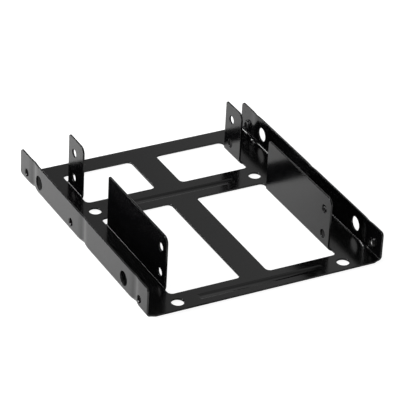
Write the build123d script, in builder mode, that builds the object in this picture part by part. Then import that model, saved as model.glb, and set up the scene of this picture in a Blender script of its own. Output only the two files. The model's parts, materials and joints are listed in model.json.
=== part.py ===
# Drive bay adapter bracket: one folded sheet of steel that holds two small drives in a 3.5 inch bay.
# All sizes are in millimetres. X runs across the width, Y from the front end to the rear end, Z up.
# The origin is under the middle of the bracket, at the height of the two pressed ribs that it rests on.

import os

from build123d import *

os.makedirs("parts", exist_ok=True)

# Sheet and overall width
sheet = 0.8
overall_width = 101.6

# Outer flanges, measured up from the underside of the flat sheet
flange_height = 12.4
flange_bend_radius = 1.8
flange_corner_radius = 1.5

# Bay screw holes in the flanges, each drawn inward into a collar, and the ends of the sheet beyond them
bay_hole_span = 101.6
bay_hole_step = 41.61
bay_hole_rear_margin = 5.9
bay_hole_front_margin = 7.5
bay_hole_height = 4.3
bay_hole_diameter = 2.9
bay_hole_mouth_diameter = 3.6
bay_hole_mouth_angle = 90.0
collar_wall = 0.8
collar_length = 0.9

# Bars of the flat sheet, which leave four windows between them
rear_bar_width = 8.4
middle_bar_line = 19.0
middle_bar_rear_width = 6.8
middle_bar_front_width = 6.2
front_bar_width = 10.6
front_bar_line_margin = 4.8
centre_bar_width = 11.5
window_corner_radius = 2.0

# Two stacked drives between the tabs
drive_width = 69.85
drive_side_clearance = 0.1
drive_hole_pitch = 76.6
drive_hole_middle = 1.0
lower_drive_hole_height = 5.15
drive_stack_pitch = 11.1
drive_hole_diameter = 3.5

# Four tabs, folded up from the windows, that reach beyond the drive holes and stop short of the middle bar
tab_height = 22.5
tab_bend_inner_radius = 0.45
tab_root_radius = 1.2
tab_front_corner_radius = 2.8
tab_rear_corner_radius = 0.8
rear_tab_hole_margin = 5.1
rear_tab_bar_margin = 5.4
front_tab_hole_margin = 4.7
front_tab_bar_margin = 4.6

# Screwdriver holes in the flanges, each beside a tab's lower drive hole
access_hole_diameter = 5.9
access_hole_rise = 0.6
access_hole_shift = 0.5

# Base holes and pressed ribs on the middle and the front bar
base_hole_diameter = 5.0
base_hole_spacing = 71.5
rib_length = 54.0
rib_width = 3.8
rib_depth = 0.4
rib_ramp_length = 2.0

# Pinches: creases across the flange's fold, pressed inward and run out along the wall
pinch_rear_margin = 12.5
pinch_middle_line = -1.0
pinch_front_margin = 11.2
pinch_foot_depth = 0.45
pinch_top_depth = 0.3
pinch_bend_radius = 2.6
pinch_rear_length = 5.0
pinch_front_length = 4.5
pinch_steps = 3

# Corners of the sheet, eased back beside and along the flanges
corner_ease_width = 3.6
front_corner_ease = 0.8
rear_corner_ease = 0.6

# Values that follow from the sizes above
overall_length = bay_hole_rear_margin + bay_hole_span + bay_hole_front_margin
half_width = overall_width / 2
half_length = overall_length / 2
underside = rib_depth
floor_top = underside + sheet
flange_strip_inner = half_width - corner_ease_width
flange_front = -half_length + front_corner_ease
bay_hole_rear = half_length - bay_hole_rear_margin
bay_hole_places = (bay_hole_rear, bay_hole_rear - bay_hole_step, bay_hole_rear - bay_hole_span)
bay_hole_radius = bay_hole_diameter / 2
front_bar_line = -half_length + front_bar_line_margin
rear_window_rear = half_length - rear_bar_width
rear_window_front = middle_bar_line + middle_bar_rear_width
front_window_rear = middle_bar_line - middle_bar_front_width
front_window_front = -half_length + front_bar_width
drive_hole_rear = drive_hole_middle + drive_hole_pitch / 2
drive_hole_front = drive_hole_middle - drive_hole_pitch / 2
drive_hole_heights = (lower_drive_hole_height, lower_drive_hole_height + drive_stack_pitch)
tab_inner_face = drive_width / 2 + drive_side_clearance
tab_outer_face = tab_inner_face + sheet
tab_bend_outer_radius = tab_bend_inner_radius + sheet
tab_bend_line = tab_outer_face + tab_bend_inner_radius
window_width = tab_bend_line - centre_bar_width / 2
window_middle = (tab_bend_line + centre_bar_width / 2) / 2
access_hole_places = (drive_hole_rear + access_hole_shift, drive_hole_front + access_hole_shift)
access_hole_height = lower_drive_hole_height + access_hole_rise
pinch_places = (half_length - pinch_rear_margin, pinch_middle_line, -half_length + pinch_front_margin)


def across(y):
    """The plane across the bracket at y: X to the right, height above the underside upward."""
    return Plane(origin=(0, y, underside), x_dir=(1, 0, 0), z_dir=(0, -1, 0))


def lengthwise(x):
    """The plane along the bracket at x: Y to the right, height above the underside upward."""
    return Plane(origin=(x, 0, underside), x_dir=(0, 1, 0), z_dir=(1, 0, 0))


def pinch_stations():
    """Distances from a pinch's crease at which the flange is cut across, from the rear forward."""
    rear = [pinch_rear_length * step / pinch_steps for step in range(pinch_steps, 0, -1)]
    front = [-pinch_front_length * step / pinch_steps for step in range(pinch_steps + 1)]
    return rear + front


def pinch_share(distance):
    """How much of the full pinch is left at a distance behind (+) or before (-) its crease."""
    reach = distance / (pinch_rear_length if distance > 0 else pinch_front_length)
    return (1 - min(abs(reach), 1.0)) ** 2


def flange_section(share):
    """The right flange cut across: a strip of floor, the fold and the wall, pinched inward by a share."""
    foot = half_width - pinch_foot_depth * share
    top = half_width - pinch_top_depth * share
    radius = flange_bend_radius + (pinch_bend_radius - flange_bend_radius) * share
    fold = foot - radius
    with BuildLine() as outline:
        Line((flange_strip_inner, 0), (fold, 0))
        RadiusArc((fold, 0), (foot, radius), -radius)
        Line((foot, radius), (top, flange_height))
        Line((top, flange_height), (top - sheet, flange_height))
        Line((top - sheet, flange_height), (foot - sheet, radius))
        RadiusArc((foot - sheet, radius), (fold, sheet), radius - sheet)
        Line((fold, sheet), (flange_strip_inner, sheet))
        Line((flange_strip_inner, sheet), (flange_strip_inner, 0))
    make_face(outline.edges())


# Flange: straight runs, with a pinched length between each two
with BuildPart() as flange:
    run_starts = (half_length,) + tuple(place - pinch_front_length for place in pinch_places)
    run_ends = tuple(place + pinch_rear_length for place in pinch_places) + (-half_length,)
    for run_start, run_end in zip(run_starts, run_ends):
        with BuildSketch(across(run_start)):
            flange_section(0)
        extrude(amount=run_start - run_end)
    for place in pinch_places:
        for distance in pinch_stations():
            with BuildSketch(across(place + distance)):
                flange_section(pinch_share(distance))
        loft(ruled=True)

    # Front end: the wall stops a little short of the flat sheet
    with BuildSketch(Plane.XY.offset(underside)):
        with BuildLine():
            Polyline(
                (flange_strip_inner, -half_length),
                (half_width - flange_bend_radius, flange_front),
                (half_width, flange_front),
                (half_width, -half_length),
                close=True,
            )
        make_face()
    extrude(amount=flange_height, mode=Mode.SUBTRACT)

    # Rear end: the sheet is eased back up to the top of the fold
    with BuildSketch(Plane.XY.offset(underside)):
        with BuildLine():
            Polyline(
                (flange_strip_inner, half_length),
                (half_width, half_length - rear_corner_ease),
                (half_width, half_length),
                close=True,
            )
        make_face()
    extrude(amount=flange_bend_radius, mode=Mode.SUBTRACT)

    # Round upper corners at both ends
    top_edges = flange.edges().filter_by(Axis.X).group_by(Axis.Z)[-1].sort_by(Axis.Y)
    fillet([top_edges[0], top_edges[-1]], flange_corner_radius)

    # Collars, then the screw holes through them, each with a wider mouth outside
    with BuildSketch(lengthwise(half_width - sheet / 2)):
        with Locations([(y, bay_hole_height) for y in bay_hole_places]):
            Circle(bay_hole_radius + collar_wall)
    extrude(amount=-(sheet / 2 + collar_length))
    with Locations(lengthwise(half_width)):
        with Locations([(y, bay_hole_height) for y in bay_hole_places]):
            CounterSinkHole(
                bay_hole_radius,
                bay_hole_mouth_diameter / 2,
                depth=half_width - tab_outer_face,
                counter_sink_angle=bay_hole_mouth_angle,
            )

    # Screwdriver holes
    with BuildSketch(lengthwise(half_width)):
        with Locations([(y, access_hole_height) for y in access_hole_places]):
            Circle(access_hole_diameter / 2)
    extrude(amount=tab_outer_face - half_width, mode=Mode.SUBTRACT)


def folded_tab(front, rear):
    """A right tab: its folded section, cut to an elevation with round corners and a flared root."""
    root_front = front - tab_root_radius
    root_rear = rear + tab_root_radius
    top_front = front + tab_front_corner_radius
    top_rear = rear - tab_rear_corner_radius
    front_corner_foot = tab_height - tab_front_corner_radius
    rear_corner_foot = tab_height - tab_rear_corner_radius
    with BuildPart() as tab:
        with BuildSketch(across(root_rear)):
            with BuildLine():
                Line((tab_bend_line, 0), (tab_bend_line, sheet))
                RadiusArc((tab_bend_line, sheet), (tab_outer_face, tab_bend_outer_radius), tab_bend_inner_radius)
                Line((tab_outer_face, tab_bend_outer_radius), (tab_outer_face, tab_height))
                Line((tab_outer_face, tab_height), (tab_inner_face, tab_height))
                Line((tab_inner_face, tab_height), (tab_inner_face, tab_bend_outer_radius))
                RadiusArc((tab_inner_face, tab_bend_outer_radius), (tab_bend_line, 0), -tab_bend_outer_radius)
            make_face()
        extrude(amount=root_rear - root_front)
        with BuildSketch(lengthwise(tab_inner_face)):
            with BuildLine():
                TangentArc((root_front, 0), (front, tab_root_radius), tangent=(1, 0))
                Line((front, tab_root_radius), (front, front_corner_foot))
                TangentArc((front, front_corner_foot), (top_front, tab_height), tangent=(0, 1))
                Line((top_front, tab_height), (top_rear, tab_height))
                TangentArc((top_rear, tab_height), (rear, rear_corner_foot), tangent=(1, 0))
                Line((rear, rear_corner_foot), (rear, tab_root_radius))
                TangentArc((rear, tab_root_radius), (root_rear, 0), tangent=(0, -1))
                Line((root_rear, 0), (root_front, 0))
            make_face()
        extrude(amount=tab_bend_line - tab_inner_face, mode=Mode.INTERSECT)
    return tab.part


# Tabs: one for each end of the drives
rear_tab = folded_tab(rear_window_front + rear_tab_bar_margin, drive_hole_rear + rear_tab_hole_margin)
front_tab = folded_tab(drive_hole_front - front_tab_hole_margin, front_window_rear - front_tab_bar_margin)

# Rib: a shallow dish along X that runs out in a ramp at each end, with its rim at height 0
dish_radius = (rib_width ** 2 / 4 + rib_depth ** 2) / (2 * rib_depth)
with BuildPart() as dish:
    with Locations((0, 0, dish_radius - rib_depth)):
        Cylinder(dish_radius, rib_length, rotation=(0, 90, 0))
    split(bisect_by=Plane.XY, keep=Keep.BOTTOM)
    for side in (1, -1):
        ramp = Plane(origin=(side * rib_length / 2, 0, 0), z_dir=(side * rib_depth, 0, -rib_ramp_length))
        split(bisect_by=ramp, keep=Keep.BOTTOM)

# Bracket: the flat sheet first
with BuildPart() as bracket:
    with BuildSketch(Plane.XY.offset(underside)):
        Rectangle(2 * flange_strip_inner, overall_length)
    extrude(amount=sheet)

    # Windows
    for rear, front in ((rear_window_rear, rear_window_front), (front_window_rear, front_window_front)):
        with BuildSketch(Plane.XY.offset(floor_top)):
            with Locations((window_middle, (front + rear) / 2), (-window_middle, (front + rear) / 2)):
                RectangleRounded(window_width, rear - front, window_corner_radius)
        extrude(amount=-sheet, mode=Mode.SUBTRACT)

    # Ribs pressed down into the cross bars: a groove on top and a bulge below
    with Locations((0, middle_bar_line, floor_top), (0, front_bar_line, floor_top)):
        add(dish.part, mode=Mode.SUBTRACT)
    with Locations((0, middle_bar_line, underside), (0, front_bar_line, underside)):
        add(dish.part)

    # Tabs and flanges, on the right and mirrored to the left
    for piece in (rear_tab, front_tab, flange.part):
        add(piece)
        mirror(piece, about=Plane.YZ)

    # Base holes, on the fold lines of the tabs
    with BuildSketch(Plane.XY.offset(floor_top)):
        for bar_line in (middle_bar_line, front_bar_line):
            with Locations((0, bar_line)):
                with GridLocations(base_hole_spacing, 0, 2, 1):
                    Circle(base_hole_diameter / 2)
    extrude(amount=-sheet, mode=Mode.SUBTRACT)

    # Drive holes, straight through the tabs of both sides
    with BuildSketch(lengthwise(tab_outer_face)):
        with Locations([(y, z) for y in (drive_hole_rear, drive_hole_front) for z in drive_hole_heights]):
            Circle(drive_hole_diameter / 2)
    extrude(amount=-2 * tab_outer_face, mode=Mode.SUBTRACT)

bracket.part.label = "bracket"
export_step(bracket.part, "parts/bracket.step")
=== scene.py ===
# %% [markdown]
# # A folded steel bracket in black paint
# The object is one sheet of steel: punched flat, folded up at its sides, then painted black. The frame
# brings it in at its true size, with every hole and fold. A frame shows only form, so this file adds what
# the eye reads: soft edges, threads in the screw holes, a coat of paint, a white table and studio light.

# %% Load the frame
import json
import math

import bmesh
import bpy
import numpy as np
from mathutils import Matrix, Vector


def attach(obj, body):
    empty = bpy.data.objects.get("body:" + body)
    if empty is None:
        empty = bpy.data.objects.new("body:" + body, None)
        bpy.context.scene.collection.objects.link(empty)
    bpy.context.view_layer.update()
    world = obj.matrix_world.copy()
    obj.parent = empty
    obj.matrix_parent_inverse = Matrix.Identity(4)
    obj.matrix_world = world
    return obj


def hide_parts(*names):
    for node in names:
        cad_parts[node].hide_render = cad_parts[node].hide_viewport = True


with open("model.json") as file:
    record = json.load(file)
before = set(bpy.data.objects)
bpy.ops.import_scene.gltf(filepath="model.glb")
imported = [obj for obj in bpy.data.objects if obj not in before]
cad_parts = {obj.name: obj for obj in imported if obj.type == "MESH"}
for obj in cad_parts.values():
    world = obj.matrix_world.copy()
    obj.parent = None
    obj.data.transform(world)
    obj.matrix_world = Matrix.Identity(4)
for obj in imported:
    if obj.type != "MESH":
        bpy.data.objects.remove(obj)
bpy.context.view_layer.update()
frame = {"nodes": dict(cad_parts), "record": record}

MM = 0.001
mounts = frame["record"]["mounts"]

# %% [markdown]
# ## The sheet
# The frame's mesh is made of loose triangles. Lit as they are, its folds and holes would show every facet.
# It could be modelled again by hand, but then a hole might move. So a copy is welded instead: points that
# lie on each other become one, and the triangles of each flat face are joined. Edges that turn sharply stay
# sharp, and shallow ones, as in a fold or a pressed rib, are shaded smooth.

# %% Weld a copy of the frame's mesh
WELD = 0.002 * MM
FLAT = math.radians(0.05)
CREASE = math.radians(42)


def welded_copy(node, name):
    """A copy of a frame node with its doubled points merged and its flat faces joined.

    An edge is smooth where its two faces turn by less than CREASE, and sharp elsewhere."""
    mesh = frame["nodes"][node].data.copy()
    mesh.name = name
    work = bmesh.new()
    work.from_mesh(mesh)
    bmesh.ops.remove_doubles(work, verts=work.verts, dist=WELD)
    bmesh.ops.dissolve_limit(work, angle_limit=FLAT, verts=work.verts, edges=work.edges)
    for edge in work.edges:
        edge.smooth = edge.is_manifold and edge.calc_face_angle() < CREASE
    for face in work.faces:
        face.smooth = True
    work.to_mesh(mesh)
    open_edges = sum(not edge.is_manifold for edge in work.edges)
    work.free()
    piece = bpy.data.objects.new(name, mesh)
    bpy.context.scene.collection.objects.link(piece)
    print(name, "has", len(mesh.polygons), "faces and", open_edges, "open edges")
    return piece


sheet = welded_copy("bracket", "folded_sheet")

# %% [markdown]
# ## Edges
# A punched edge isn't a knife edge: the punch rolls it over a little, and the paint rounds it again. That
# tiny radius is what draws the thin bright line along the rim of black metal. A Bevel modifier cuts it on
# every sharp edge. The Weighted Normal modifier then lets the large flat faces keep their flat shading, so
# that only the narrow strips bend the light.

# %% Round the punched edges
EDGE_RADIUS = 0.12 * MM
EDGE_FACETS = 2
STRONGEST = 100

bevel = sheet.modifiers.new("rolled_edge", "BEVEL")
bevel.limit_method = "ANGLE"
bevel.angle_limit = CREASE
bevel.width = EDGE_RADIUS
bevel.segments = EDGE_FACETS
bevel.use_clamp_overlap = False
bevel.miter_outer = "MITER_ARC"
flat_shading = sheet.modifiers.new("flat_shading", "WEIGHTED_NORMAL")
flat_shading.keep_sharp = False
flat_shading.weight = STRONGEST
print("the punched edges are rounded by", round(EDGE_RADIUS / MM, 2), "mm")

# %% [markdown]
# ## Threads
# Six holes in the flanges take the bay's screws. Each is drawn inward to a collar and tapped. A thread could
# be a bump map, but a bump can't hide anything behind it. Here it is real: one rounded ridge, carried along
# a helix. It is worked out on a grid of two parameters, the angle round the hole and the place across the
# ridge, as whole arrays.

# %% Thread ridges for the screw holes
PITCH = 25.4 / 32 * MM
RIDGE_HEIGHT = 0.12 * MM
RIDGE_WIDTH = 0.5 * MM
RIDGE_SINK = 0.03 * MM
RIDGE_LEAD = 0.05 * MM
RIDGE_TIP = 0.02
STEPS_PER_TURN = 32
STEPS_ACROSS = 8


def thread(name, mouth, inward, bore_radius, depth):
    """A right-handed ridge inside a bore, from its mouth to the given depth.

    At angle a and place s (from -1 to 1 across the ridge), the depth is
    lead + pitch * a / (2 pi) + s * width / 2, and the radius is
    bore + sink - (sink + height) * (1 + cos(pi s)) / 2, where the height grows and dies over half a turn."""
    turns = (depth - 2 * RIDGE_LEAD - RIDGE_WIDTH) / PITCH
    angle = np.linspace(0, 2 * np.pi * turns, int(STEPS_PER_TURN * turns) + 1)[:, None]
    across = np.linspace(-1, 1, STEPS_ACROSS + 1)[None, :]
    from_end = np.minimum(angle, angle[-1] - angle) / np.pi
    height = RIDGE_HEIGHT * np.sin(np.pi / 2 * np.clip(from_end, RIDGE_TIP, 1)) ** 2
    radius = bore_radius + RIDGE_SINK - (RIDGE_SINK + height) * (1 + np.cos(np.pi * across)) / 2
    along = RIDGE_LEAD + RIDGE_WIDTH / 2 + PITCH * angle / (2 * np.pi) + across * RIDGE_WIDTH / 2
    inward, first = np.array(inward, float), np.array([0.0, 1.0, 0.0])
    second = np.cross(inward, first)
    points = (
        np.array(mouth)
        + (radius * np.cos(angle))[..., None] * first
        + (radius * np.sin(angle))[..., None] * second
        + along[..., None] * inward
    )
    rows, columns = points.shape[:2]
    index = np.arange(rows * columns).reshape(rows, columns)
    ahead, beside = index[1:], np.roll(index, -1, axis=1)
    quads = np.stack([index[:-1], ahead, beside[1:], beside[:-1]], axis=-1).reshape(-1, 4)
    faces = quads.tolist() + [index[0].tolist(), index[-1, ::-1].tolist()]
    mesh = bpy.data.meshes.new(name)
    mesh.from_pydata(points.reshape(-1, 3).tolist(), [], faces)
    work = bmesh.new()
    work.from_mesh(mesh)
    bmesh.ops.recalc_face_normals(work, faces=work.faces)
    work.to_mesh(mesh)
    work.free()
    mesh.shade_smooth()
    piece = bpy.data.objects.new(name, mesh)
    bpy.context.scene.collection.objects.link(piece)
    return piece


threads = []
for mount in mounts:
    if mount["kind"] == "threaded_hole":
        outward = np.array(mount["axis"], float)
        radius, length = mount["dims"]["r_mm"] * MM, mount["dims"]["length_mm"] * MM
        mouth = np.array(mount["pos_m"]) + outward * length / 2
        name = mount["name"].replace("bay_screw", "thread")
        threads.append(thread(name, mouth, -outward, radius, length))
print(len(threads), "threads, each with", len(threads[0].data.polygons), "faces")

# %% [markdown]
# ## Paint
# The finish is black powder paint on steel, baked on at about 180 degrees. The powder flows into a smooth
# film, but never quite flat: it keeps a faint orange peel, a millimetre or so from hump to hump. That blurs
# what it mirrors and breaks up the edges of highlights. The film is a plastic, so its index of refraction
# is near 1.5 and it isn't metallic: head on it is almost pure black, and at a low angle it mirrors the room.
# The helpers come first. They turn colours to the linear values that shaders use, and add nodes and links.

# %% Helpers for materials
def linear(colour):
    """Turns an sRGB hex colour into the linear RGBA that shaders use."""
    srgb = np.array([int(colour[place:place + 2], 16) for place in (1, 3, 5)]) / 255
    values = np.where(srgb <= 0.04045, srgb / 12.92, ((srgb + 0.055) / 1.055) ** 2.4)
    return (*values.tolist(), 1.0)


def add(tree, kind, inputs=None, **settings):
    """Adds a node of one kind, sets its properties, then fills its inputs with values or links."""
    node = tree.nodes.new(kind)
    for key, value in settings.items():
        setattr(node, key, value)
    for key, value in (inputs or {}).items():
        if isinstance(value, bpy.types.NodeSocket):
            tree.links.new(value, node.inputs[key])
        else:
            node.inputs[key].default_value = value
    return node


def empty_material(name):
    """A new material whose node tree is empty."""
    material = bpy.data.materials.new(name)
    material.use_nodes = True
    material.node_tree.nodes.clear()
    return material


# %% Black powder paint on steel
PEEL_SIZE = 1.3 * MM
PEEL_HEIGHT = 0.0015 * MM
GRAIN_SIZE = 0.22 * MM
GRAIN_HEIGHT = 0.0003 * MM
CLOUD_SIZE = 16 * MM
CLOUD_THIN, CLOUD_DENSE = 0.3, 0.7
GLOSSIEST, DULLEST = 0.15, 0.20
POWDER_IOR = 1.55


def black_powder_paint():
    """Semi-gloss black powder paint: an orange peel in the bump, and slow clouds in the roughness."""
    material = empty_material("black_powder_paint")
    tree = material.node_tree
    place = add(tree, "ShaderNodeTexCoord").outputs["Object"]
    peel = add(tree, "ShaderNodeTexNoise", {"Vector": place, "Scale": 1 / PEEL_SIZE, "Detail": 1.0})
    grain = add(tree, "ShaderNodeTexNoise", {"Vector": place, "Scale": 1 / GRAIN_SIZE, "Detail": 2.0})
    cloud = add(tree, "ShaderNodeTexNoise", {"Vector": place, "Scale": 1 / CLOUD_SIZE, "Detail": 3.0})
    peel_bump = add(
        tree, "ShaderNodeBump",
        {"Height": peel.outputs["Fac"], "Strength": 1.0, "Distance": PEEL_HEIGHT},
    )
    grain_bump = add(
        tree, "ShaderNodeBump",
        {"Height": grain.outputs["Fac"], "Strength": 1.0, "Distance": GRAIN_HEIGHT,
         "Normal": peel_bump.outputs["Normal"]},
    )
    colour = add(
        tree, "ShaderNodeMix",
        {"Factor": cloud.outputs["Fac"], "A": linear("#010101"), "B": linear("#030304")},
        data_type="RGBA",
    )
    roughness = add(
        tree, "ShaderNodeMapRange",
        {"Value": cloud.outputs["Fac"], "From Min": CLOUD_THIN, "From Max": CLOUD_DENSE,
         "To Min": GLOSSIEST, "To Max": DULLEST},
    )
    paint = add(
        tree, "ShaderNodeBsdfPrincipled",
        {"Base Color": colour.outputs["Result"], "Roughness": roughness.outputs["Result"],
         "Normal": grain_bump.outputs["Normal"], "IOR": POWDER_IOR},
    )
    add(tree, "ShaderNodeOutputMaterial", {"Surface": paint.outputs["BSDF"]})
    return material


paint = black_powder_paint()
for piece in [sheet, *threads]:
    piece.data.materials.clear()
    piece.data.materials.append(paint)
    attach(piece, "root")
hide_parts("bracket")
print("painted", 1 + len(threads), "pieces")

# %% [markdown]
# ## Table
# The photograph was lit to a clean white ground. A white table that is lit that brightly would also wash out
# the black paint. So the camera sees a table that mostly glows by itself, with a little of the real shading
# left in it for the shadow, while the object sees a plain white table.

# %% White table
TABLE_RADIUS = 1.6
CAMERA_GLOW = 0.93


def white_table_paint():
    """Matt white. To the camera it glows at CAMERA_GLOW, and a mid grey on top of that shows shadows."""
    material = empty_material("matt_white_table")
    tree = material.node_tree
    ray = add(tree, "ShaderNodeLightPath")
    matt = add(tree, "ShaderNodeBsdfDiffuse", {"Color": linear("#f4f4f4")})
    shaded = add(tree, "ShaderNodeBsdfDiffuse", {"Color": linear("#959595")})
    glow = add(tree, "ShaderNodeEmission", {"Strength": CAMERA_GLOW})
    seen = add(tree, "ShaderNodeAddShader", {0: shaded.outputs["BSDF"], 1: glow.outputs["Emission"]})
    surface = add(
        tree, "ShaderNodeMixShader",
        {"Fac": ray.outputs["Is Camera Ray"], 1: matt.outputs["BSDF"], 2: seen.outputs["Shader"]},
    )
    add(tree, "ShaderNodeOutputMaterial", {"Surface": surface.outputs["Shader"]})
    material.cycles.emission_sampling = "NONE"
    return material


def disc(name, radius, sides=96):
    """A flat round face in the plane z = 0: its rim points are (r cos a, r sin a, 0)."""
    angle = np.linspace(0, 2 * np.pi, sides, endpoint=False)
    rim = radius * np.stack([np.cos(angle), np.sin(angle), 0 * angle], axis=1)
    mesh = bpy.data.meshes.new(name)
    mesh.from_pydata(rim.tolist(), [], [list(range(sides))])
    piece = bpy.data.objects.new(name, mesh)
    bpy.context.scene.collection.objects.link(piece)
    return piece


table = disc("table", TABLE_RADIUS)
table.data.materials.append(white_table_paint())
print("the table is", 2 * TABLE_RADIUS, "m across")

# %% [markdown]
# ## Room
# Black paint shows little of its own colour. What it shows is the room, so the room is designed before the
# lamps. The camera sees plain white. What the paint mirrors is a white studio too, with one black screen
# behind on the left, as photographers use: it keeps the channels beside the tabs deep black. The white lies
# in soft bands, at the horizon, at middle height and overhead, and it is dimmer on the camera's side. A
# pressed rib tips the mirror up on one side and down on the other, out of the middle band, and that is how
# it shows on a flat black sheet. The matt part of every surface gets one even, low level from all round.

# %% Room
ROOM_WHITE = 1.0
SCREEN_BLACK = 0.03
SCREEN_WAY = (-0.416, 0.753, 0.510)
SCREEN_RIM, SCREEN_CORE = 0.49, 0.79
BAND_STEP = 0.5
BETWEEN_BANDS = 0.4
CAMERA_SIDE = 0.5
DIMMEST_AT, FULL_AT = -0.6, 0.3
ROOM_FILL = 0.22

world = bpy.data.worlds.new("studio")
bpy.context.scene.world = world
world.use_nodes = True
world.cycles.sampling_method = "NONE"
tree = world.node_tree
tree.nodes.clear()
ray = add(tree, "ShaderNodeLightPath")
way = add(tree, "ShaderNodeTexCoord").outputs["Generated"]
nearness = add(tree, "ShaderNodeVectorMath", {0: way, 1: SCREEN_WAY}, operation="DOT_PRODUCT")
screened = add(
    tree, "ShaderNodeMapRange",
    {"Value": nearness.outputs["Value"], "From Min": SCREEN_RIM, "From Max": SCREEN_CORE,
     "To Min": ROOM_WHITE, "To Max": SCREEN_BLACK},
)
axes = add(tree, "ShaderNodeSeparateXYZ", {"Vector": way})
phase = add(tree, "ShaderNodeMath", {0: axes.outputs["Z"], 1: math.tau / BAND_STEP}, operation="MULTIPLY")
wave = add(tree, "ShaderNodeMath", {0: phase.outputs["Value"]}, operation="COSINE")
band = add(
    tree, "ShaderNodeMapRange",
    {"Value": wave.outputs["Value"], "From Min": -1.0, "From Max": 1.0,
     "To Min": BETWEEN_BANDS, "To Max": 1.0},
)
depth = add(
    tree, "ShaderNodeMapRange",
    {"Value": axes.outputs["Y"], "From Min": DIMMEST_AT, "From Max": FULL_AT,
     "To Min": CAMERA_SIDE, "To Max": 1.0},
)
banded = add(
    tree, "ShaderNodeMath",
    {0: screened.outputs["Result"], 1: band.outputs["Result"]}, operation="MULTIPLY",
)
mirrored = add(
    tree, "ShaderNodeMath",
    {0: banded.outputs["Value"], 1: depth.outputs["Result"]}, operation="MULTIPLY",
)
glossy = add(
    tree, "ShaderNodeMix",
    {"Factor": ray.outputs["Is Glossy Ray"], "A": ROOM_FILL, "B": mirrored.outputs["Value"]},
)
level = add(
    tree, "ShaderNodeMix",
    {"Factor": ray.outputs["Is Camera Ray"], "A": glossy.outputs["Result"], "B": ROOM_WHITE},
)
sky = add(tree, "ShaderNodeBackground", {"Strength": level.outputs["Result"]})
add(tree, "ShaderNodeOutputWorld", {"Surface": sky.outputs["Background"]})
print("the room is white, with a black screen toward", SCREEN_WAY)

# %% [markdown]
# ## Lamps
# Two softboxes light the table, whose white the upright walls then mirror. They stand low and behind, so
# the sheet's front edges stay dark in their own shadow. They are hidden from mirrored rays, because they
# would burn white patches into the flat sheet as seen from other sides. Two small lamps are only mirrored.
# A narrow strip behind draws the fine line along each inner fold, since only the curve of a fold turns its
# way, and a card on the left does the same for the mouths of the tapped holes.

# %% Lamps
def lamp(name, azimuth, elevation, distance, width, height, watts, mirrored):
    """A soft rectangular lamp that faces the object. Its angles are in degrees and its sizes in metres.

    Azimuth 0 is straight behind the object, and a positive one lies to the right. A mirrored lamp shows only
    in glossy reflections, and any other one lights only what is matt."""
    around, above = math.radians(azimuth), math.radians(elevation)
    toward = Vector((
        math.sin(around) * math.cos(above),
        math.cos(around) * math.cos(above),
        math.sin(above),
    ))
    light = bpy.data.lights.new(name, "AREA")
    light.shape = "RECTANGLE"
    light.size = width
    light.size_y = height
    light.energy = watts
    holder = bpy.data.objects.new(name, light)
    bpy.context.scene.collection.objects.link(holder)
    holder.location = toward * distance
    holder.rotation_euler = toward.to_track_quat("Z", "Y").to_euler()
    holder.visible_glossy = mirrored
    holder.visible_diffuse = not mirrored
    return holder


lamps = [
    lamp("rear_softbox", -15, 35, 0.9, 0.6, 0.3, 5.2, mirrored=False),
    lamp("left_softbox", -76, 20, 0.5, 0.25, 0.13, 3.9, mirrored=False),
    lamp("rear_strip", -5, 37.4, 0.88, 0.30, 0.08, 0.9, mirrored=True),
    lamp("left_card", -78, 36, 0.5, 0.18, 0.18, 2.4, mirrored=True),
]
print(len(lamps), "lamps,", round(sum(each.data.energy for each in lamps), 1), "watts in all")

# %% [markdown]
# ## Camera
# The place of the camera was worked out from the photograph: the known distances between the screw holes
# fix the angle, the distance and the lens. The camera stands a metre away with a long lens, turned a little
# about its own axis.

# %% Camera
VIEW_AZIMUTH = math.radians(-28.937)
VIEW_ELEVATION = math.radians(30.659)
VIEW_ROLL = math.radians(3.03)
VIEW_DISTANCE = 1039.04 * MM
VIEW_AIM = Vector((-0.80, -2.52, 9.89)) * MM
SENSOR = 36.0
LENS = 238.46

back = Vector((
    math.sin(VIEW_AZIMUTH) * math.cos(VIEW_ELEVATION),
    -math.cos(VIEW_AZIMUTH) * math.cos(VIEW_ELEVATION),
    math.sin(VIEW_ELEVATION),
))
level_right = Vector((math.cos(VIEW_AZIMUTH), math.sin(VIEW_AZIMUTH), 0))
level_up = back.cross(level_right)
right = level_right * math.cos(VIEW_ROLL) + level_up * math.sin(VIEW_ROLL)
up = level_up * math.cos(VIEW_ROLL) - level_right * math.sin(VIEW_ROLL)

camera_data = bpy.data.cameras.new("camera")
camera_data.sensor_width = SENSOR
camera_data.lens = LENS
camera = bpy.data.objects.new("camera", camera_data)
bpy.context.scene.collection.objects.link(camera)
place = VIEW_AIM + back * VIEW_DISTANCE
camera.matrix_world = Matrix.Translation(place) @ Matrix((right, up, back)).transposed().to_4x4()
bpy.context.scene.camera = camera
bpy.context.scene.view_settings.view_transform = "Standard"
print("the camera stands at", [round(value, 3) for value in place])
